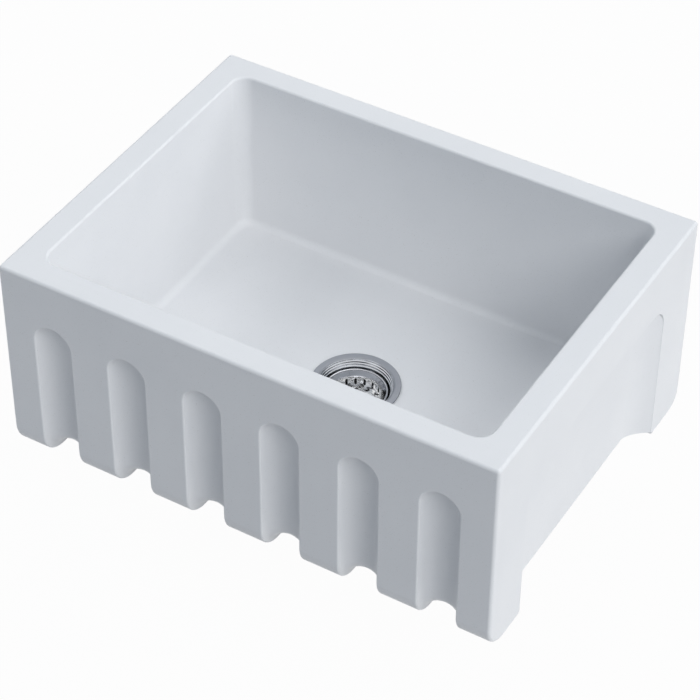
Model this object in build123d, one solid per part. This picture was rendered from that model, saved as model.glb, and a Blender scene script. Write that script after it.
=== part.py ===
from build123d import *
import math
import os

os.makedirs("parts", exist_ok=True)

# A farmhouse sink in fired clay, with its basket drain. Millimetres, +Z up, the apron faces -Y.
# The origin is the middle of the rim's flat top, so the whole sink lies below it.

# The clay casting
sink_length = 609.0
sink_depth = 459.0
sink_height = 268.0
front_rim_width = 33.0
rear_rim_width = 31.0
side_rim_width = 33.5
wall_draft = 0.5
floor_thickness = 21.0
basin_corner_radius = 18.0
basin_floor_radius = 9.0
rim_inner_radius = 3.0
outer_edge_radius = 4.0
apron_foot_radius = 35.0
rear_foot_radius = 22.0
cutter_overrun = 5.0

# The flutes of the apron, which follow its face and its rounded foot
flute_count = 6
end_pilaster_width = 41.5
flute_width = 46.0
flute_depth = 19.0
flute_top = 63.0
flute_lip_radius = 2.5

# The recess in each side wall: an arch with a slight crown, whose ends scoop in from the face
recess_front_margin = 69.0
recess_rear_margin = 70.5
recess_crown = 65.0
recess_crown_offset = 30.0
recess_front_shoulder = 74.0
recess_rear_shoulder = 70.0
recess_front_corner = 42.0
recess_rear_corner = 30.0
recess_depth = 14.2
recess_front_scoop = 20.0
recess_rear_scoop = 48.0
recess_scoop_centre = 72.0
recess_lip_radius = 0.6
recess_lip_step = 0.1

# The hollow under the floor, between the front feet and the rear feet
hollow_height = 31.0
front_foot_width = 66.5
front_haunch_width = 27.0
front_haunch_radius = 8.0
rear_foot_width = 66.5
rear_haunch_width = 55.0
rear_haunch_radius = 20.0
hollow_foot_height = 4.0

# The drain: its depths are measured down from the basin's floor
drain_offset = 9.5
drain_hole_radius = 45.0
drain_hole_chamfer = 1.5
putty_thickness = 1.0
putty_inner_gap = 0.3
putty_setback = 1.0

flange_overlap = 7.5
flange_thickness = 1.4
throat_width = 1.2
throat_bend_radius = 2.6
throat_depth = 3.6
step_width = 1.3
step_depth = 6.6
cup_root_wall = 2.8
cup_depth = 46.0
cup_base_thickness = 1.8
cup_corner_radius = 4.0
collar_depth = 16.0
body_thread_clearance = 1.8
body_thread_depth = 0.9
neck_bore_radius = 20.0
neck_ledge_width = 1.7
neck_wall = 3.6
neck_thread_depth = 0.8
thread_pitch = 2.2
neck_length = 26.0
cross_seat_depth = 9.0

# What clamps the drain to the floor
nut_clearance = 0.25
gasket_thickness = 3.2
gasket_width = 12.0
friction_washer_thickness = 1.2
locknut_height = 13.0
locknut_wall = 6.5
locknut_flange_height = 3.5
locknut_lug_count = 8
locknut_lug_length = 5.5
locknut_lug_width = 9.0

# The cross in the neck, with the bush that guides the basket's post
cross_fit = 0.1
cross_ring_width = 1.4
cross_ring_height = 6.0
spoke_count = 4
spoke_width = 2.4
spoke_height = 4.0
hub_radius = 6.6
hub_height = 10.0
bush_radius = 4.6
bush_fit = 0.02
bush_flange_radius = 5.8
bush_flange_height = 0.8

# The post through the basket, with its knob and its stopper
post_radius = 2.5
post_running_fit = 0.05
post_push_fit = 0.02
post_chamfer = 0.8
post_foot_depth = 68.0
knob_top_depth = 17.0
knob_head_radius = 9.5
knob_head_height = 6.0
knob_head_rounding = 2.4
knob_neck_radius = 4.6
knob_foot_radius = 7.5
knob_foot_height = 2.0
knob_crown = 4.0
backing_overhang = 1.0
backing_thickness = 1.2
stopper_overlap = 4.5
stopper_shoulder_width = 7.5
stopper_edge_thickness = 2.2
stopper_lip_width = 3.0
stopper_hollow_width = 7.0
stopper_hollow_depth = 2.6
stopper_centre_thickness = 6.0
stopper_gap = 0.2
post_nut_across_flats = 9.0
post_nut_height = 3.6

# The basket, which turns on the post between the knob and the stopper's backing
basket_float = 0.15
basket_post_clearance = 0.4
basket_rim_depth = 7.4
basket_rim_gap = 3.2
basket_bead_radius = 1.2
basket_shoulder_width = 5.3
basket_mouth_depth = 15.0
basket_wall_setback = 1.4
basket_floor_depth = 36.4
basket_corner_radius = 3.5
basket_sheet = 0.9
slot_count = 18
slot_width = 3.0
slot_length = 9.0
slot_top_depth = 17.0
wall_hole_radius = 1.5
wall_hole_depth = 30.0
floor_hole_radius = 1.7
floor_hole_insets = (15.1, 10.1, 5.1)
floor_hole_counts = (10, 14, 18)

# The outlet
tailpiece_radius = 19.05
tailpiece_wall = 0.9
tailpiece_length = 98.0
tailpiece_flange_gap = 0.7
tailpiece_flange_thickness = 1.5
tailpiece_washer_thickness = 2.0
coupling_nut_height = 17.0
coupling_nut_wall = 3.4
coupling_lip_thickness = 2.4
coupling_lip_clearance = 1.0
coupling_rib_count = 12
coupling_rib_radius = 2.2

# Heights and places that follow from the sizes above
front_face = -sink_depth / 2
side_face = sink_length / 2
rear_face = sink_depth / 2
base = -sink_height
floor_underside = base + hollow_height
basin_floor = floor_underside + floor_thickness
flute_pitch = (sink_length - 2 * end_pilaster_width - flute_width) / (flute_count - 1)
recess_front = front_face + recess_front_margin
recess_rear = rear_face - recess_rear_margin
hollow_front = front_face + front_foot_width
hollow_rear = rear_face - rear_foot_width
body_thread_radius = drain_hole_radius - body_thread_clearance
cup_radius = body_thread_radius - body_thread_depth - cup_root_wall
step_radius = cup_radius + step_width
throat_radius = step_radius + throat_width
flange_radius = drain_hole_radius + flange_overlap
putty_outer_radius = flange_radius - putty_setback
putty_inner_radius = drain_hole_radius + drain_hole_chamfer + putty_inner_gap
neck_ledge_radius = neck_bore_radius - neck_ledge_width
neck_thread_radius = neck_bore_radius + neck_wall
stopper_radius = neck_bore_radius + stopper_overlap
stopper_top_radius = stopper_radius - stopper_shoulder_width
backing_radius = stopper_top_radius + backing_overhang
basket_rim_radius = cup_radius - basket_rim_gap
basket_mouth_radius = basket_rim_radius - basket_shoulder_width
basket_wall_radius = basket_mouth_radius - basket_wall_setback
tailpiece_flange_radius = neck_thread_radius - tailpiece_flange_gap
flange_underside = basin_floor + putty_thickness
flange_top = flange_underside + flange_thickness
cup_floor = basin_floor - cup_depth
cup_underside = cup_floor - cup_base_thickness
neck_end = cup_underside - neck_length
gasket_underside = floor_underside - gasket_thickness
washer_underside = gasket_underside - friction_washer_thickness
clamp_bore_radius = body_thread_radius + nut_clearance
cross_foot = cup_underside - cross_seat_depth
cross_top = cross_foot + cross_ring_height
hub_foot = cross_top - hub_height
basket_floor = basin_floor - basket_floor_depth
basket_underside = basket_floor - basket_sheet
knob_foot = basket_floor + basket_float
knob_top = basin_floor - knob_top_depth
post_foot = basin_floor - post_foot_depth
backing_top = basket_underside - basket_float
stopper_top = backing_top - backing_thickness
stopper_foot = cup_floor + stopper_gap
post_nut_top = stopper_top - stopper_centre_thickness
push_bore_radius = post_radius + post_push_fit
tailpiece_top = neck_end - tailpiece_washer_thickness
tailpiece_flange_foot = tailpiece_top - tailpiece_flange_thickness
coupling_foot = tailpiece_flange_foot - coupling_lip_thickness


def on_drain(shape):
    """Move a shape made round the origin's upright axis to the drain's axis."""
    return Pos(0, drain_offset, 0) * shape


def turned(outline, roundings=()):
    """A closed outline of (radius, height) points, with some corners rounded, turned round the drain's axis."""
    section = make_face(Polyline(*outline, close=True))
    for corner, radius in roundings:
        vertex = section.vertices().sort_by_distance((corner[0], corner[1], 0))[0]
        section = fillet(vertex, radius)
    return on_drain(revolve(Plane.XZ * section, Axis.Z))


def washer(inner_radius, outer_radius, bottom, top):
    return turned(
        [(inner_radius, bottom), (outer_radius, bottom), (outer_radius, top), (inner_radius, top)]
    )


def thread_outline(crest_radius, depth, bottom, top):
    """The crests and roots of a thread, from bottom to top."""
    root_radius = crest_radius - depth
    turns = int((top - bottom) / thread_pitch)
    points = [(root_radius, bottom)]
    for turn in range(turns):
        middle = bottom + (turn + 0.5) * thread_pitch
        points.append((crest_radius, middle - thread_pitch * 0.1))
        points.append((crest_radius, middle + thread_pitch * 0.1))
        points.append((root_radius, middle + thread_pitch * 0.5))
    return points


# The clay casting

def casting_block():
    side_view = Rectangle(sink_depth, sink_height, align=(Align.CENTER, Align.MAX))
    lower_corners = side_view.vertices().sort_by(Axis.Y)[:2]
    side_view = fillet(lower_corners.sort_by(Axis.X)[0], apron_foot_radius)
    lower_corners = side_view.vertices().sort_by(Axis.Y)[:2]
    side_view = fillet(lower_corners.sort_by(Axis.X)[-1], rear_foot_radius)
    block = extrude(Plane.YZ * side_view, sink_length / 2, both=True)
    end_edges = block.faces().filter_by(Axis.X).edges()
    top_edges = block.faces().sort_by(Axis.Z)[-1].edges().filter_by(Axis.X)
    return fillet(end_edges + top_edges, outer_edge_radius)


def half_flute_section():
    """One half of a flute seen from above, with its lip rounded and its mouth carried out of the clay."""
    half_width = flute_width / 2
    half_mouth = half_width + flute_lip_radius
    outline = (
        Polyline((0, flute_depth), (0, -cutter_overrun), (half_mouth, -cutter_overrun), (half_mouth, 0))
        + CenterArc((half_mouth, flute_lip_radius), flute_lip_radius, 180, 90)
        + EllipticalCenterArc((0, flute_lip_radius), half_width, flute_depth - flute_lip_radius, 0)
    )
    return make_face(outline)


def flute_cutters(centre_x):
    """A groove down the apron's face, round its foot and out into the hollow underneath."""
    half_section = half_flute_section()
    section = half_section + mirror(half_section, Plane.YZ)
    spring_height = -flute_top - flute_width / 2
    foot_centre_y = front_face + apron_foot_radius
    foot_centre_z = base + apron_foot_radius
    shaft_section = Pos(centre_x, front_face, foot_centre_z) * section
    foot_axis = Axis((centre_x, foot_centre_y, foot_centre_z), (1, 0, 0))
    run_out_section = Pos(centre_x, foot_centre_y, base) * (Plane.XZ * section)
    dome = Pos(centre_x, front_face, spring_height) * revolve(half_section, Axis.Y)
    shaft = extrude(shaft_section, spring_height - foot_centre_z)
    bend = revolve(shaft_section, foot_axis, 90)
    run_out = extrude(run_out_section, foot_centre_y - hollow_front - front_haunch_width)
    return [dome, shaft, bend, run_out]


def recess_cutter():
    """The recess in one side wall: an arch seen from the side, with ends that scoop in from its lip."""
    below = base - cutter_overrun
    outside = side_face + recess_scoop_centre
    back = side_face - recess_depth
    scoop_height = recess_depth + recess_scoop_centre
    lip_share = (recess_scoop_centre + recess_lip_radius + recess_lip_step) / scoop_height
    scoop_share = math.sqrt(1 - lip_share ** 2)
    front_reach = recess_front_scoop / scoop_share
    rear_reach = recess_rear_scoop / scoop_share
    front_flat = recess_front + recess_front_scoop
    rear_flat = recess_rear - recess_rear_scoop
    front_shoulder = (recess_front, -recess_front_shoulder)
    rear_shoulder = (recess_rear, -recess_rear_shoulder)
    sides = Polyline(front_shoulder, (recess_front, below), (recess_rear, below), rear_shoulder)
    crown = ThreePointArc(front_shoulder, (recess_crown_offset, -recess_crown), rear_shoulder)
    elevation = make_face(sides + crown)
    for shoulder, radius in ((front_shoulder, recess_front_corner), (rear_shoulder, recess_rear_corner)):
        corner = elevation.vertices().sort_by_distance((shoulder[0], shoulder[1], 0))[0]
        elevation = fillet(corner, radius)
    plan = (
        Line((outside, rear_flat + rear_reach), (outside, front_flat - front_reach))
        + EllipticalCenterArc((outside, front_flat), scoop_height, front_reach, 180)
        + Line((back, front_flat), (back, rear_flat))
        + EllipticalCenterArc((outside, rear_flat), scoop_height, rear_reach, 90)
    )
    from_the_side = Pos(back - cutter_overrun, 0, 0) * extrude(
        Plane.YZ * elevation, recess_depth + 2 * cutter_overrun
    )
    from_above = Pos(0, 0, below) * extrude(make_face(plan), sink_height)
    return from_the_side & from_above


def hollow_cutter():
    """The open hollow under the floor, with sloped haunches down to the feet."""
    front_roof = hollow_front + front_haunch_width
    rear_roof = hollow_rear - rear_haunch_width
    outline = Polyline(
        (hollow_front, base - cutter_overrun),
        (hollow_front, base + hollow_foot_height),
        (front_roof, floor_underside),
        (rear_roof, floor_underside),
        (hollow_rear, base + hollow_foot_height),
        (hollow_rear, base - cutter_overrun),
        close=True,
    )
    section = make_face(outline)
    front_corner = section.vertices().sort_by_distance((front_roof, floor_underside, 0))[0]
    section = fillet(front_corner, front_haunch_radius)
    rear_corner = section.vertices().sort_by_distance((rear_roof, floor_underside, 0))[0]
    section = fillet(rear_corner, rear_haunch_radius)
    return extrude(Plane.YZ * section, sink_length / 2 + cutter_overrun, both=True)


def basin_cutter():
    mouth = RectangleRounded(
        sink_length - 2 * side_rim_width, sink_depth - front_rim_width - rear_rim_width, basin_corner_radius
    )
    mouth = Pos(0, (front_rim_width - rear_rim_width) / 2, 0) * mouth
    space = extrude(mouth, basin_floor, taper=wall_draft)
    floor_edges = space.faces().sort_by(Axis.Z)[0].edges()
    return fillet(floor_edges, basin_floor_radius)


def mouth_edges(slab, side):
    """The edges of one recess, in the plane of the sink's side face."""
    on_face = slab.edges().filter_by_position(Axis.X, side - 0.01, side + 0.01)
    return on_face.filter_by_position(Axis.Y, recess_front - 1, recess_rear + 1).filter_by(
        lambda edge: edge.bounding_box().size.Z > 1
    )


def recessed_slab():
    """A slab as long as the sink and larger in its other sizes, with both recesses and their rounded lips."""
    slab = Box(sink_length, sink_depth + 2 * cutter_overrun, 2 * (sink_height + cutter_overrun))
    recess = recess_cutter()
    slab = slab - recess - mirror(recess, Plane.YZ)
    for side in (-side_face, side_face):
        slab = fillet(mouth_edges(slab, side), recess_lip_radius)
    return slab


def make_sink_basin():
    sink = casting_block() & recessed_slab()
    first_flute = -flute_pitch * (flute_count - 1) / 2
    for number in range(flute_count):
        for cutter in flute_cutters(first_flute + number * flute_pitch):
            sink -= cutter
    sink -= hollow_cutter()
    sink -= basin_cutter()
    rim_edges = sink.faces().sort_by(Axis.Z)[-1].inner_wires()[0].edges()
    sink = fillet(rim_edges, rim_inner_radius)
    chamfered_hole = turned([
        (0, flange_underside),
        (drain_hole_radius + drain_hole_chamfer + putty_thickness, flange_underside),
        (drain_hole_radius, basin_floor - drain_hole_chamfer),
        (drain_hole_radius, floor_underside - 1),
        (0, floor_underside - 1),
    ])
    return sink - chamfered_hole


# The drain body and what seals and clamps it

def make_strainer_body():
    cup_root_radius = cup_radius + cup_root_wall
    inside = [
        (flange_radius, flange_underside),
        (flange_radius, flange_top),
        (throat_radius, flange_top),
        (throat_radius, basin_floor - throat_depth),
        (step_radius, basin_floor - throat_depth),
        (step_radius, basin_floor - step_depth),
        (cup_radius, basin_floor - step_depth),
        (cup_radius, cup_floor),
        (neck_bore_radius, cup_floor),
        (neck_bore_radius, cross_foot),
        (neck_ledge_radius, cross_foot),
        (neck_ledge_radius, neck_end),
    ]
    neck_thread = thread_outline(neck_thread_radius, neck_thread_depth, neck_end, cup_underside)
    cup_corner = [(neck_thread_radius, cup_underside), (cup_root_radius, cup_underside)]
    collar_foot = basin_floor - collar_depth
    body_thread = thread_outline(
        body_thread_radius, body_thread_depth, cup_underside + cup_corner_radius, collar_foot
    )
    collar = [(body_thread_radius, collar_foot), (body_thread_radius, flange_underside)]
    roundings = [
        ((flange_radius, flange_top), flange_thickness * 0.6),
        ((throat_radius, flange_top), throat_bend_radius),
        ((cup_radius, cup_floor), cup_corner_radius),
        ((cup_root_radius, cup_underside), cup_corner_radius),
    ]
    return turned(inside + neck_thread + cup_corner + body_thread + collar, roundings)


def make_flange_seal():
    return washer(putty_inner_radius, putty_outer_radius, basin_floor, flange_underside)


def make_sink_gasket():
    return washer(clamp_bore_radius, clamp_bore_radius + gasket_width, gasket_underside, floor_underside)


def make_friction_washer():
    return washer(clamp_bore_radius, clamp_bore_radius + gasket_width, washer_underside, gasket_underside)


def make_locknut():
    nut_foot = washer_underside - locknut_height
    flange_foot = washer_underside - locknut_flange_height
    ring_radius = clamp_bore_radius + locknut_wall
    nut = turned([
        (clamp_bore_radius, nut_foot),
        (ring_radius, nut_foot),
        (ring_radius, flange_foot),
        (clamp_bore_radius + gasket_width, flange_foot),
        (clamp_bore_radius + gasket_width, washer_underside),
        (clamp_bore_radius, washer_underside),
    ])
    lug_height = locknut_height - locknut_flange_height
    lug = Box(
        locknut_lug_length + 1,
        locknut_lug_width,
        lug_height,
        align=(Align.MIN, Align.CENTER, Align.MIN),
    )
    lug = fillet(lug.edges().filter_by(Axis.Z).sort_by(Axis.X)[-2:], locknut_lug_width / 4)
    lugs = [
        on_drain(Rot(0, 0, number * 360 / locknut_lug_count) * Pos(ring_radius - 1, 0, nut_foot) * lug)
        for number in range(locknut_lug_count)
    ]
    return nut + lugs


# The cross in the neck, and the bush in its hub

def make_outlet_cross():
    ring_radius = neck_bore_radius - cross_fit
    ring_inside = ring_radius - cross_ring_width
    cross = washer(ring_inside, ring_radius, cross_foot, cross_top)
    spoke_length = ring_inside - hub_radius + 1
    spoke = Box(spoke_length, spoke_width, spoke_height, align=(Align.MIN, Align.CENTER, Align.MIN))
    spokes = [
        on_drain(Rot(0, 0, number * 360 / spoke_count) * Pos(hub_radius - 0.5, 0, cross_foot) * spoke)
        for number in range(spoke_count)
    ]
    hub = washer(bush_radius + bush_fit, hub_radius, hub_foot, cross_top)
    return cross + spokes + hub


def make_socket_bush():
    bore_radius = post_radius + post_running_fit
    return turned([
        (bore_radius, hub_foot),
        (bush_radius, hub_foot),
        (bush_radius, cross_top),
        (bush_flange_radius, cross_top),
        (bush_flange_radius, cross_top + bush_flange_height),
        (bore_radius, cross_top + bush_flange_height),
    ])


# The post with its knob and its stopper

def make_basket_post():
    post_top = knob_top - knob_crown
    return turned([
        (0, post_foot),
        (post_radius - post_chamfer, post_foot),
        (post_radius, post_foot + post_chamfer),
        (post_radius, post_top),
        (0, post_top),
    ])


def make_basket_knob():
    head_foot = knob_top - knob_head_height
    neck_top = head_foot - (knob_head_radius - knob_neck_radius) / 2
    foot_top = knob_foot + knob_foot_height
    outline = [
        (push_bore_radius, knob_foot),
        (knob_foot_radius, knob_foot),
        (knob_foot_radius, foot_top),
        (knob_neck_radius, foot_top + knob_foot_height),
        (knob_neck_radius, neck_top),
        (knob_head_radius, head_foot),
        (knob_head_radius, knob_top),
        (0, knob_top),
        (0, knob_top - knob_crown),
        (push_bore_radius, knob_top - knob_crown),
    ]
    return turned(outline, [((knob_head_radius, knob_top), knob_head_rounding)])


def make_stopper_backing():
    return washer(push_bore_radius, backing_radius, stopper_top, backing_top)


def make_stopper_seal():
    edge_top = stopper_foot + stopper_edge_thickness
    hollow_outer = stopper_radius - stopper_lip_width
    hollow_inner = hollow_outer - stopper_hollow_width
    return turned([
        (push_bore_radius, stopper_top),
        (stopper_top_radius, stopper_top),
        (stopper_radius - stopper_edge_thickness, edge_top),
        (stopper_radius, edge_top),
        (stopper_radius, stopper_foot),
        (hollow_outer, stopper_foot),
        (hollow_outer - stopper_hollow_depth, stopper_foot + stopper_hollow_depth),
        (hollow_inner, stopper_foot + stopper_hollow_depth),
        (hollow_inner, post_nut_top),
        (push_bore_radius, post_nut_top),
    ])


def make_post_nut():
    hexagon = RegularPolygon(post_nut_across_flats / 2, 6, major_radius=False)
    section = hexagon - Circle(push_bore_radius)
    return on_drain(Pos(0, 0, post_nut_top) * extrude(section, -post_nut_height))


# The basket

def around_drain(cutter, radius, height, count, first_angle=0.0):
    """Copies of a shape set round the drain's axis at one radius and one height."""
    return [
        on_drain(Rot(0, 0, first_angle + number * 360 / count) * Pos(radius, 0, height) * cutter)
        for number in range(count)
    ]


def make_basket_cup():
    bead_height = basin_floor - basket_rim_depth - basket_bead_radius
    mouth = basin_floor - basket_mouth_depth
    post_hole_radius = post_radius + basket_post_clearance
    inner_corner = (basket_wall_radius, basket_floor)
    outer_corner = (basket_wall_radius + basket_sheet, basket_underside)
    sheet = turned(
        [
            (basket_rim_radius - basket_sheet, bead_height),
            (basket_mouth_radius, mouth),
            inner_corner,
            (post_hole_radius, basket_floor),
            (post_hole_radius, basket_underside),
            outer_corner,
            (basket_mouth_radius + basket_sheet, mouth - basket_sheet / 2),
            (basket_rim_radius, bead_height),
        ],
        [(inner_corner, basket_corner_radius), (outer_corner, basket_corner_radius + basket_sheet)],
    )
    bead_section = Plane.XZ * (Pos(basket_rim_radius, bead_height) * Circle(basket_bead_radius))
    cup = sheet + on_drain(revolve(bead_section, Axis.Z))
    slot_height = basin_floor - slot_top_depth - slot_length / 2
    slot = Rot(0, 90, 0) * extrude(SlotOverall(slot_length, slot_width), basket_sheet * 5, both=True)
    cutters = around_drain(slot, basket_wall_radius, slot_height, slot_count)
    wall_hole = Rot(0, 90, 0) * Cylinder(wall_hole_radius, basket_sheet * 10)
    half_pitch = 180 / slot_count
    cutters += around_drain(
        wall_hole, basket_wall_radius, basin_floor - wall_hole_depth, slot_count, half_pitch
    )
    floor_hole = Cylinder(floor_hole_radius, basket_sheet * 3)
    for inset, count in zip(floor_hole_insets, floor_hole_counts):
        hole_height = basket_floor - basket_sheet / 2
        cutters += around_drain(floor_hole, basket_wall_radius - inset, hole_height, count)
    return cup - cutters


# The outlet

def make_tailpiece_washer():
    return washer(neck_ledge_radius, tailpiece_flange_radius, tailpiece_top, neck_end)


def make_tailpiece():
    bore_radius = tailpiece_radius - tailpiece_wall
    tube_end = tailpiece_top - tailpiece_length
    return turned([
        (bore_radius, tube_end),
        (tailpiece_radius, tube_end),
        (tailpiece_radius, tailpiece_flange_foot),
        (tailpiece_flange_radius, tailpiece_flange_foot),
        (tailpiece_flange_radius, tailpiece_top),
        (bore_radius, tailpiece_top),
    ])


def make_coupling_nut():
    bore_radius = neck_thread_radius + nut_clearance
    outer_radius = bore_radius + coupling_nut_wall
    lip_radius = tailpiece_radius + coupling_lip_clearance
    nut_top = coupling_foot + coupling_nut_height
    nut = turned([
        (lip_radius, coupling_foot),
        (outer_radius, coupling_foot),
        (outer_radius, nut_top),
        (bore_radius, nut_top),
        (bore_radius, tailpiece_flange_foot),
        (lip_radius, tailpiece_flange_foot),
    ])
    rib_align = (Align.CENTER, Align.CENTER, Align.MIN)
    rib = Cylinder(coupling_rib_radius, coupling_nut_height, align=rib_align)
    return nut + around_drain(rib, outer_radius, coupling_foot, coupling_rib_count)


pieces = {
    "sink_basin": make_sink_basin(),
    "strainer_body": make_strainer_body(),
    "flange_seal": make_flange_seal(),
    "sink_gasket": make_sink_gasket(),
    "friction_washer": make_friction_washer(),
    "locknut": make_locknut(),
    "outlet_cross": make_outlet_cross(),
    "socket_bush": make_socket_bush(),
    "basket_post": make_basket_post(),
    "basket_knob": make_basket_knob(),
    "stopper_backing": make_stopper_backing(),
    "stopper_seal": make_stopper_seal(),
    "post_nut": make_post_nut(),
    "basket_cup": make_basket_cup(),
    "tailpiece_washer": make_tailpiece_washer(),
    "tailpiece": make_tailpiece(),
    "coupling_nut": make_coupling_nut(),
}
for name, shape in pieces.items():
    print(name, "solids", len(shape.solids()), "volume", round(shape.volume))
    export_step(shape, "parts/" + name + ".step")
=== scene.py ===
import math

import bmesh
import bpy
from mathutils import Matrix, Vector


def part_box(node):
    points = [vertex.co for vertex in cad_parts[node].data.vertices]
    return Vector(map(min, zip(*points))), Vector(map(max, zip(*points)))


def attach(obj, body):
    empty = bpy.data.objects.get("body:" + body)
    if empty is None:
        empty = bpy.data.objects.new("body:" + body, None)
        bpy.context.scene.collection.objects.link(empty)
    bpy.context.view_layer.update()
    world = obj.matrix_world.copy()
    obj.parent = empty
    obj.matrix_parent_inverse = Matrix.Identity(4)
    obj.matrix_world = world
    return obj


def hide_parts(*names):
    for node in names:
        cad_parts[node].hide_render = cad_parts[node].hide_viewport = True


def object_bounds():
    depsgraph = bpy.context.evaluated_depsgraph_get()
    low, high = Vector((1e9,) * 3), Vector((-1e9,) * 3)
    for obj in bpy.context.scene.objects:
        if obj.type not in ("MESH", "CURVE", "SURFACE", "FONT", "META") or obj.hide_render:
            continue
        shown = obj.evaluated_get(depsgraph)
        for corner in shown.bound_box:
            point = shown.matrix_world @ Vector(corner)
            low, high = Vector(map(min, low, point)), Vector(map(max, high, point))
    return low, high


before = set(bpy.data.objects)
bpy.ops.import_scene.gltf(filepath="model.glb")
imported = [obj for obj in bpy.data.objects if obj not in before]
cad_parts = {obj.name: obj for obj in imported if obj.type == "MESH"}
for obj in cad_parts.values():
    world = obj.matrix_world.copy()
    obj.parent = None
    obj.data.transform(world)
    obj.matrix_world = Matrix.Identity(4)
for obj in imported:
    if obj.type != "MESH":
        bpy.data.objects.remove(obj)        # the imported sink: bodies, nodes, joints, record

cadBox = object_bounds()
mm = 0.001
fullTurn = 2 * math.pi
turnSteps = 128                                # faces round a turned piece
mergeDistance = 1e-6                           # vertices closer than this are one
drainY = (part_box("flange_seal")[0].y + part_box("flange_seal")[1].y) / 2
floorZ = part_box("flange_seal")[0].z            # the basin's floor, where the putty lies


# Meshes. Drain pieces are drawn as (radius, depth below the basin's floor, corner rounding) in mm.

def turnedShape(outline, closed=True, steps=turnSteps):
    bm = bmesh.new()
    corners = [bm.verts.new((point[0] * mm, 0, floorZ - point[1] * mm)) for point in outline]
    nextCorners = corners[1:] + corners[:1] if closed else corners[1:]
    for corner, nextCorner in zip(corners, nextCorners):
        bm.edges.new((corner, nextCorner))
    for corner, point in zip(corners, outline):
        if len(point) > 2:
            bmesh.ops.bevel(bm, geom=[corner], offset=point[2] * mm, offset_type="OFFSET", segments=4,
                            profile=0.5, affect="VERTICES", material=-1)
    bmesh.ops.spin(bm, geom=bm.verts[:] + bm.edges[:], cent=(0, 0, 0), axis=(0, 0, 1), dvec=(0, 0, 0),
                   angle=fullTurn, steps=steps, use_merge=True)
    bmesh.ops.remove_doubles(bm, verts=bm.verts, dist=mergeDistance)
    bmesh.ops.recalc_face_normals(bm, faces=bm.faces)
    return bm


def addThread(bm, rootRadius, crestRadius, top, bottom, pitch, stepsPerTurn=64):
    # one tooth, swept along a helix and sunk a little into the shaft; its heights are shares of the pitch
    before = set(bm.faces)
    turns = (bottom - top) / pitch - 1
    footRadius, footHeight, crestHeight = rootRadius - 0.3, 0.42, 0.12
    tooth = [(footRadius, footHeight), (crestRadius, crestHeight), (crestRadius, -crestHeight),
             (footRadius, -footHeight)]
    corners = [bm.verts.new((radius * mm, 0, floorZ - (bottom - pitch / 2 + height * pitch) * mm))
               for radius, height in tooth]
    section = bm.faces.new(corners)
    bmesh.ops.spin(bm, geom=[section] + section.edges[:] + corners, cent=(0, 0, 0), axis=(0, 0, 1),
                   dvec=(0, 0, pitch * mm / stepsPerTurn), angle=fullTurn * turns,
                   steps=round(stepsPerTurn * turns), use_merge=False)
    bmesh.ops.recalc_face_normals(bm, faces=[face for face in bm.faces if face not in before])


def finishPiece(bm, name, material, body, node, sharpAngle=35, atDrain=True):
    if atDrain:
        bmesh.ops.translate(bm, vec=(0, drainY, 0), verts=bm.verts)
    mesh = bpy.data.meshes.new(name)
    bm.to_mesh(mesh)
    bm.free()
    if "custom_normal" in mesh.attributes:      # a CAD copy brings its own, which merging spoils
        mesh.attributes.remove(mesh.attributes["custom_normal"])
    mesh.shade_smooth()
    mesh.set_sharp_from_angle(angle=math.radians(sharpAngle))
    mesh.materials.append(material)
    piece = bpy.data.objects.new(name, mesh)
    bpy.context.scene.collection.objects.link(piece)
    weighted = piece.modifiers.new("evenShading", "WEIGHTED_NORMAL")
    weighted.keep_sharp = True
    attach(piece, body)
    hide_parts(node)
    return piece


def mergedCopy(node):
    bm = bmesh.new()
    bm.from_mesh(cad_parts[node].data)
    bmesh.ops.remove_doubles(bm, verts=bm.verts, dist=mergeDistance)
    return bm


# Materials

def startMaterial(name, colour, metallic=0.0, roughness=0.4):
    material = bpy.data.materials.new(name)
    material.use_nodes = True
    tree = material.node_tree
    shader = tree.nodes["Principled BSDF"]
    shader.inputs["Base Color"].default_value = (*colour, 1)
    shader.inputs["Metallic"].default_value = metallic
    shader.inputs["Roughness"].default_value = roughness
    place = tree.nodes.new("ShaderNodeTexCoord").outputs["Object"]
    return material, tree, shader, place


def noiseFrom(tree, place, scale, detail=2.0, roughness=0.5):
    noise = tree.nodes.new("ShaderNodeTexNoise")
    noise.inputs["Scale"].default_value = scale
    noise.inputs["Detail"].default_value = detail
    noise.inputs["Roughness"].default_value = roughness
    tree.links.new(place, noise.inputs["Vector"])
    return noise.outputs["Fac"]


def spread(tree, value, low, high, fromLow=0.3, fromHigh=0.7):
    ranged = tree.nodes.new("ShaderNodeMapRange")
    tree.links.new(value, ranged.inputs["Value"])
    ranged.inputs["From Min"].default_value = fromLow
    ranged.inputs["From Max"].default_value = fromHigh
    ranged.inputs["To Min"].default_value = low
    ranged.inputs["To Max"].default_value = high
    return ranged.outputs["Result"]


def blendColours(tree, factor, first, second):
    mix = tree.nodes.new("ShaderNodeMix")
    mix.data_type = "RGBA"
    tree.links.new(factor, mix.inputs["Factor"])
    for socket, colour in ((mix.inputs["A"], first), (mix.inputs["B"], second)):
        if isinstance(colour, tuple):
            socket.default_value = (*colour, 1)
        else:
            tree.links.new(colour, socket)
    return mix.outputs["Result"]


def addBump(tree, shader, height, strength, distance, under=None):
    bump = tree.nodes.new("ShaderNodeBump")
    bump.inputs["Strength"].default_value = strength
    bump.inputs["Distance"].default_value = distance
    tree.links.new(height, bump.inputs["Height"])
    if under is not None:
        tree.links.new(under, bump.inputs["Normal"])
    tree.links.new(bump.outputs["Normal"], shader.inputs["Normal"])
    return bump.outputs["Normal"]


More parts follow.
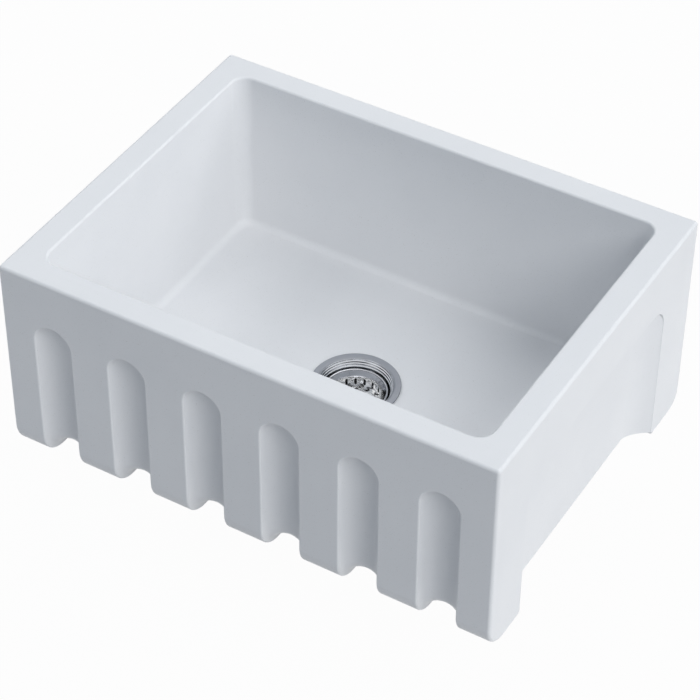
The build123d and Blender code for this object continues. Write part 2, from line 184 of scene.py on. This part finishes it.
whiteGlaze = {"colour": (0.862, 0.866, 0.876), "cool": (0.833, 0.839, 0.852), "roughness": (0.36, 0.44),
              "cloudScale": 7.0, "peelScale": 210.0, "peelStrength": 0.08, "peelDepth": 0.0006,
              "pinholeScale": 900.0, "pinholeColour": (0.70, 0.70, 0.69), "pinholeEdge": (0.24, 0.3),
              "pinholeStrength": 0.15, "pinholeDepth": 0.0002}


def makeWhiteGlaze():
    opts = whiteGlaze
    material, tree, shader, place = startMaterial("whiteGlaze", opts["colour"])
    clouds = noiseFrom(tree, place, opts["cloudScale"], 4.0, 0.6)
    colour = blendColours(tree, spread(tree, clouds, 0, 1), opts["colour"], opts["cool"])
    pinholes = spread(tree, noiseFrom(tree, place, opts["pinholeScale"], 1.0), 0, 1, *opts["pinholeEdge"])
    colour = blendColours(tree, pinholes, opts["pinholeColour"], colour)
    tree.links.new(colour, shader.inputs["Base Color"])
    tree.links.new(spread(tree, clouds, *opts["roughness"]), shader.inputs["Roughness"])
    peel = noiseFrom(tree, place, opts["peelScale"], 1.0)
    below = addBump(tree, shader, peel, opts["peelStrength"], opts["peelDepth"])
    addBump(tree, shader, pinholes, opts["pinholeStrength"], opts["pinholeDepth"], below)
    return material


turnedMetal = {"grooveShade": 0.8, "grooveDepth": 0.00004, "smudgeScale": 60.0, "bandEdge": (0.42, 0.58),
               "sheenScale": 45.0, "sheenEdge": (0.4, 0.6), "satinAndShadeEdge": 0.0003}


def shade(colour, factor):
    return tuple(value * factor for value in colour)


def makeMetal(name, colour, roughness, grainScale=2600.0, grain=0.25, paintedReflectionBands=0.0, satinAndShadeRing=None):
    # turned metal: fine rings round the drain's axis; where asked, wider rings darkened in patches as painted
    # dark reflections; outside a radius a second colour and roughness: the flange's satin finish, and on the
    # basket a darker shoulder that is painted shade
    opts = turnedMetal
    material, tree, shader, place = startMaterial(name, colour, 1.0, roughness[0])
    centre = tree.nodes.new("ShaderNodeMapping")
    centre.inputs["Location"].default_value = (0, -drainY, 0)
    tree.links.new(place, centre.inputs["Vector"])
    parts = tree.nodes.new("ShaderNodeSeparateXYZ")
    tree.links.new(centre.outputs["Vector"], parts.inputs["Vector"])
    flat = tree.nodes.new("ShaderNodeCombineXYZ")
    tree.links.new(parts.outputs["X"], flat.inputs["X"])
    tree.links.new(parts.outputs["Y"], flat.inputs["Y"])
    radius = tree.nodes.new("ShaderNodeVectorMath")
    radius.operation = "LENGTH"
    tree.links.new(flat.outputs["Vector"], radius.inputs[0])
    rings = tree.nodes.new("ShaderNodeCombineXYZ")
    tree.links.new(radius.outputs["Value"], rings.inputs["X"])
    tree.links.new(parts.outputs["Z"], rings.inputs["Z"])
    lines = noiseFrom(tree, rings.outputs["Vector"], grainScale, 3.0, 0.65)
    smudges = noiseFrom(tree, place, opts["smudgeScale"], 4.0, 0.6)
    rough = spread(tree, smudges, *roughness)
    tone = blendColours(tree, spread(tree, lines, 0, 1), shade(colour, opts["grooveShade"]), colour)
    # painted reflection: wide rings darkened in noise patches stand in for dark surroundings mirrored in the
    # turned rings
    if paintedReflectionBands:
        wide = noiseFrom(tree, rings.outputs["Vector"], grainScale / 4, 2.0, 0.6)
        sheen = noiseFrom(tree, place, opts["sheenScale"], 1.0)
        paintedDarkReflection = blendColours(tree, spread(tree, wide, 0, 1, *opts["bandEdge"]), shade(colour, 1 - paintedReflectionBands), tone)
        tone = blendColours(tree, spread(tree, sheen, 0, 1, *opts["sheenEdge"]), paintedDarkReflection, tone)
    # outside the radius: on the flange its satin finish; on the basket a darker colour that is painted shade
    # on the shoulder
    if satinAndShadeRing:
        edge = satinAndShadeRing["radius"]
        outside = spread(tree, radius.outputs["Value"], 0, 1, edge, edge + opts["satinAndShadeEdge"])
        tone = blendColours(tree, outside, tone, satinAndShadeRing["colour"])
        even = tree.nodes.new("ShaderNodeMix")
        tree.links.new(outside, even.inputs["Factor"])
        tree.links.new(rough, even.inputs["A"])
        even.inputs["B"].default_value = satinAndShadeRing["roughness"]
        rough = even.outputs["Result"]
    tree.links.new(tone, shader.inputs["Base Color"])
    tree.links.new(rough, shader.inputs["Roughness"])
    addBump(tree, shader, lines, grain, opts["grooveDepth"])
    return material


moulded = {"patchScale": 90.0, "roughnessSwing": 0.06, "speckDepth": 0.0001}


def makeMoulded(name, colour, roughness, speckScale=700.0, specks=0.3, variation=0.8):
    # rubber, plastic, putty and fibre: a matt body colour with a fine grain
    opts = moulded
    material, tree, shader, place = startMaterial(name, colour, 0.0, roughness)
    patches = noiseFrom(tree, place, opts["patchScale"], 4.0, 0.6)
    tone = blendColours(tree, spread(tree, patches, 0, 1), shade(colour, variation), colour)
    tree.links.new(tone, shader.inputs["Base Color"])
    swing = opts["roughnessSwing"]
    tree.links.new(spread(tree, patches, roughness - swing, roughness + swing), shader.inputs["Roughness"])
    addBump(tree, shader, noiseFrom(tree, place, speckScale, 3.0, 0.6), specks, opts["speckDepth"])
    return material


glaze = makeWhiteGlaze()
# the flange's rings carry painted dark reflections; outside its radius is its satin finish
flangeSteel = makeMetal("flangeSteel", (0.80, 0.82, 0.85), (0.10, 0.22), paintedReflectionBands=0.75,
                        satinAndShadeRing={"radius": 0.0437, "colour": (0.335, 0.352, 0.388), "roughness": 0.5})
# painted shade: the basket is darker outside its radius, on the shoulder, where shade falls
basketSteel = makeMetal("basketSteel", (0.97, 0.975, 0.98), (0.04, 0.10), 700.0, 0.04,
                        satinAndShadeRing={"radius": 0.0315, "colour": (0.50, 0.51, 0.54), "roughness": 0.12})
crossSteel = makeMetal("crossSteel", (0.60, 0.61, 0.63), (0.3, 0.4))
stemSteel = makeMetal("stemSteel", (0.62, 0.63, 0.64), (0.22, 0.32))
knobChrome = makeMetal("knobChrome", (0.80, 0.81, 0.83), (0.06, 0.14), 2600.0, 0.05)
pipeChrome = makeMetal("pipeChrome", (0.78, 0.79, 0.81), (0.08, 0.18), 1500.0, 0.05)
nutBrass = makeMetal("nutBrass", (0.70, 0.53, 0.29), (0.30, 0.45))
puttyGrey = makeMoulded("puttyGrey", (0.55, 0.53, 0.49), 0.75)
gasketRubber = makeMoulded("gasketRubber", (0.035, 0.036, 0.038), 0.62)
stopperRubber = makeMoulded("stopperRubber", (0.045, 0.045, 0.048), 0.55)
bushPlastic = makeMoulded("bushPlastic", (0.80, 0.80, 0.78), 0.45, 400.0, 0.1, 0.93)
washerPlastic = makeMoulded("washerPlastic", (0.72, 0.74, 0.76), 0.45, 400.0, 0.1, 0.93)
fibreBrown = makeMoulded("fibreBrown", (0.33, 0.21, 0.12), 0.8, 900.0, 0.5, 0.7)
print("materials made")


# The fired clay sink

finishPiece(mergedCopy("sink_basin"), "glazedSink", glaze, "sink", "sink_basin", 40, atDrain=False)
print("sink made")


# The drain, from the flange down

# threads: root and crest radius, top and bottom depth, pitch
strainerShell = {"outline": [
    (52.5, -1.0, 0.2), (52.5, -2.1, 0.5), (51.6, -2.4, 0.3), (45.7, -2.4, 0.3), (45.2, -2.0),
    (44.7, -2.4, 0.3), (43.6, -1.7, 0.4), (43.0, 0.4, 0.4), (42.1, 0.9, 0.4), (41.9, 2.8, 0.3),
    (41.0, 3.3, 0.3), (40.8, 5.8, 0.3), (39.9, 6.6, 0.3), (39.5, 9.0, 0.8), (39.5, 46.0, 4.0),
    (20.0, 46.0, 1.0), (20.0, 56.8), (18.3, 56.8), (18.3, 73.8, 0.3), (22.8, 73.8, 0.4),
    (22.8, 47.8, 0.6), (42.3, 47.8, 4.0), (42.3, 16.0), (43.2, 16.0, 0.3), (43.2, -1.0)],
    "bodyThread": (42.3, 43.2, 16.5, 43.0, 2.2), "neckThread": (22.8, 23.6, 48.4, 73.6, 2.2)}
shell = turnedShape(strainerShell["outline"])
addThread(shell, *strainerShell["bodyThread"])
addThread(shell, *strainerShell["neckThread"])
finishPiece(shell, "strainerShell", flangeSteel, "sink", "strainer_body")


puttyBead = {"outline": [(46.8, 0), (51.5, 0, 0.2), (51.5, -1.0, 0.2), (46.8, -1.0)]}
finishPiece(turnedShape(puttyBead["outline"]), "puttyBead", puttyGrey, "sink", "flange_seal")

floorGasket = {"outline": [
    (43.45, 21.0, 0.3), (55.45, 21.0, 0.6), (55.45, 22.2, 0.2), (55.15, 22.6, 0.2), (55.45, 23.0, 0.2),
    (55.45, 24.2, 0.6), (43.45, 24.2, 0.3)]}
finishPiece(turnedShape(floorGasket["outline"]), "floorGasket", gasketRubber, "sink", "sink_gasket")

paperRing = {"outline": [(43.45, 24.2), (55.45, 24.2, 0.15), (55.45, 25.4, 0.15), (43.45, 25.4)]}
finishPiece(turnedShape(paperRing["outline"]), "paperRing", fibreBrown, "sink", "friction_washer")

stemBush = {"outline": [(2.55, 60.8, 0.15), (4.6, 60.8, 0.3), (4.6, 50.8), (5.8, 50.8), (5.8, 50.0, 0.3),
                        (2.55, 50.0, 0.2)]}
finishPiece(turnedShape(stemBush["outline"]), "stemBush", bushPlastic, "sink", "socket_bush")

tubeWasher = {"outline": [(18.3, 73.8, 0.2), (22.9, 73.8, 0.3), (22.9, 75.8, 0.3), (18.3, 75.8, 0.2)]}
finishPiece(turnedShape(tubeWasher["outline"]), "tubeWasher", washerPlastic, "sink", "tailpiece_washer")

outletTube = {"outline": [
    (18.15, 173.8, 0.2), (19.05, 173.8, 0.25), (19.05, 77.3, 0.3), (22.9, 77.3, 0.3), (22.9, 75.8, 0.4),
    (18.15, 75.8, 0.6)]}
finishPiece(turnedShape(outletTube["outline"]), "outletTube", pipeChrome, "sink", "tailpiece")

basketStem = {"outline": [
    (0, 68.0), (1.6, 68.0, 0.3), (2.5, 67.1, 0.3), (2.5, 64.8), (2.15, 64.4), (2.15, 63.6), (2.5, 63.2),
    (2.5, 21.0), (0, 21.0)]}
finishPiece(turnedShape(basketStem["outline"], False), "basketStem", stemSteel, "post", "basket_post")

liftKnob = {"outline": [
    (0, 17.5), (5.6, 17.35, 0.4), (6.3, 17.0, 0.4), (9.5, 17.0, 2.1), (9.5, 23.0, 0.8), (4.6, 25.45, 1.2),
    (4.6, 32.25, 1.0), (7.5, 34.25, 0.5), (7.5, 36.25, 0.3), (2.52, 36.25), (2.52, 21.0), (0, 21.0)]}
finishPiece(turnedShape(liftKnob["outline"], False), "liftKnob", knobChrome, "post", "basket_knob")

stopperDisc = {"outline": [(2.52, 37.45), (18.0, 37.45, 0.4), (18.0, 38.65, 0.2), (2.52, 38.65)]}
finishPiece(turnedShape(stopperDisc["outline"]), "stopperDisc", stemSteel, "post", "stopper_backing")

stopperCone = {"outline": [
    (2.52, 38.65), (17.0, 38.65, 0.8), (22.3, 43.6, 0.8), (24.5, 43.6, 0.5), (24.5, 45.8, 0.5),
    (21.5, 45.8, 0.3), (18.9, 43.2, 0.4), (14.5, 43.2, 0.4), (14.5, 44.65, 0.3), (2.52, 44.65)]}
finishPiece(turnedShape(stopperCone["outline"]), "stopperCone", stopperRubber, "post", "stopper_seal")

for name, node, slotName, material, body in (
        ("lugNut", "locknut", "nut_brass", nutBrass, "sink"),
        ("outletCross", "outlet_cross", "cross_steel", crossSteel, "sink"),
        ("ribbedNut", "coupling_nut", "pipe_chrome", pipeChrome, "sink"),
        ("stemNut", "post_nut", "post_steel", stemSteel, "post"),
        ("crumbBasket", "basket_cup", "basket_steel", basketSteel, "basket")):
    finishPiece(mergedCopy(node), name, material, body, node, atDrain=False)
print("drain made")


# Floor, light and camera

# each soft lamp: degrees round from +X, degrees up, strength; the metal mirrors only the shining ones
studio = {"floorColour": (0.50, 0.50, 0.51), "floorSize": 12.0, "floorWhite": 0.97, "floorDrop": 0.0005,
          "ambient": (0.55, 0.76, 1.0), "ambientStrength": 0.17, "softness": 30, "shining": ["rearTopLamp"],
          "lamps": {"frontRightLamp": (-30, 42, 1.177), "lowRightLamp": (0, 12, 0.785),
                    "rightLamp": (0, 42, 0.123), "rearRightLamp": (60, 42, 0.582),
                    "leftLamp": (180, 42, 0.713), "rearTopLamp": (90, 68, 0.443)}}


def cameraRays(tree):
    # camera, mirror and glass rays see a plain white studio
    path = tree.nodes.new("ShaderNodeLightPath")
    first = tree.nodes.new("ShaderNodeMath")
    second = tree.nodes.new("ShaderNodeMath")
    first.operation = second.operation = "MAXIMUM"
    tree.links.new(path.outputs["Is Camera Ray"], first.inputs[0])
    tree.links.new(path.outputs["Is Glossy Ray"], first.inputs[1])
    tree.links.new(first.outputs["Value"], second.inputs[0])
    tree.links.new(path.outputs["Is Transmission Ray"], second.inputs[1])
    return second.outputs["Value"]


def makeWorld():
    world = bpy.data.worlds.new("studioWorld")
    bpy.context.scene.world = world
    world.use_nodes = True
    tree = world.node_tree
    ambient = tree.nodes["Background"]
    ambient.inputs["Color"].default_value = (*studio["ambient"], 1)
    ambient.inputs["Strength"].default_value = studio["ambientStrength"]
    white = tree.nodes.new("ShaderNodeBackground")
    white.inputs["Color"].default_value = (1, 1, 1, 1)
    white.inputs["Strength"].default_value = 1.0
    mix = tree.nodes.new("ShaderNodeMixShader")
    tree.links.new(cameraRays(tree), mix.inputs["Fac"])
    tree.links.new(ambient.outputs["Background"], mix.inputs[1])
    tree.links.new(white.outputs["Background"], mix.inputs[2])
    tree.links.new(mix.outputs["Shader"], tree.nodes["World Output"].inputs["Surface"])


def makeFloor():
    bm = bmesh.new()
    bmesh.ops.create_grid(bm, x_segments=2, y_segments=2, size=studio["floorSize"] / 2)
    mesh = bpy.data.meshes.new("studioFloor")
    bmesh.ops.translate(bm, vec=(0, 0, cadBox[0].z - studio["floorDrop"]), verts=bm.verts)
    bm.to_mesh(mesh)
    bm.free()
    floor = bpy.data.objects.new("studioFloor", mesh)
    bpy.context.scene.collection.objects.link(floor)
    material = bpy.data.materials.new("floorPaper")
    material.use_nodes = True
    tree = material.node_tree
    shader = tree.nodes["Principled BSDF"]
    shader.inputs["Base Color"].default_value = (*studio["floorColour"], 1)
    shader.inputs["Roughness"].default_value = 0.9
    glow = tree.nodes.new("ShaderNodeEmission")
    glow.inputs["Color"].default_value = (1, 1, 1, 1)
    mix = tree.nodes.new("ShaderNodeMixShader")
    share = tree.nodes.new("ShaderNodeMath")
    share.operation = "MULTIPLY"
    share.inputs[1].default_value = studio["floorWhite"]
    tree.links.new(cameraRays(tree), share.inputs[0])
    tree.links.new(share.outputs["Value"], mix.inputs["Fac"])
    tree.links.new(shader.outputs["BSDF"], mix.inputs[1])
    tree.links.new(glow.outputs["Emission"], mix.inputs[2])
    tree.links.new(mix.outputs["Shader"], tree.nodes["Material Output"].inputs["Surface"])
    mesh.materials.append(material)


def makeLamps():
    for name, (around, up, strength) in studio["lamps"].items():
        lamp = bpy.data.lights.new(name, "SUN")
        lamp.angle = math.radians(studio["softness"])
        lamp.energy = strength
        turn, rise = math.radians(around), math.radians(up)
        toLamp = Vector((math.cos(turn) * math.cos(rise), math.sin(turn) * math.cos(rise), math.sin(rise)))
        holder = bpy.data.objects.new(name, lamp)
        holder.rotation_euler = (-toLamp).to_track_quat("-Z", "Y").to_euler()
        holder.visible_glossy = name in studio["shining"]
        bpy.context.scene.collection.objects.link(holder)


viewPoint = {"azimuth": 30.458, "elevation": 41.755, "roll": 0.5147, "place": (1.09026, -1.85729, 1.7677),
             "lens": 132.53, "sensorWidth": 36, "farthest": 50}


def makeCamera():
    opts = viewPoint
    turn, rise = math.radians(opts["azimuth"]), math.radians(opts["elevation"])
    back = Vector((math.sin(turn) * math.cos(rise), -math.cos(turn) * math.cos(rise), math.sin(rise)))
    camera = bpy.data.objects.new("photoCamera", bpy.data.cameras.new("photoCamera"))
    camera.data.sensor_width = opts["sensorWidth"]
    camera.data.lens = opts["lens"]
    camera.data.clip_end = opts["farthest"]
    camera.location = opts["place"]
    level = (-back).to_track_quat("-Z", "Y").to_matrix()
    camera.rotation_euler = (level @ Matrix.Rotation(math.radians(opts["roll"]), 3, "Z")).to_euler()
    bpy.context.scene.collection.objects.link(camera)
    bpy.context.scene.camera = camera


makeWorld()
makeFloor()
makeLamps()
makeCamera()
bpy.context.scene.view_settings.view_transform = "Standard"
print("studio made")
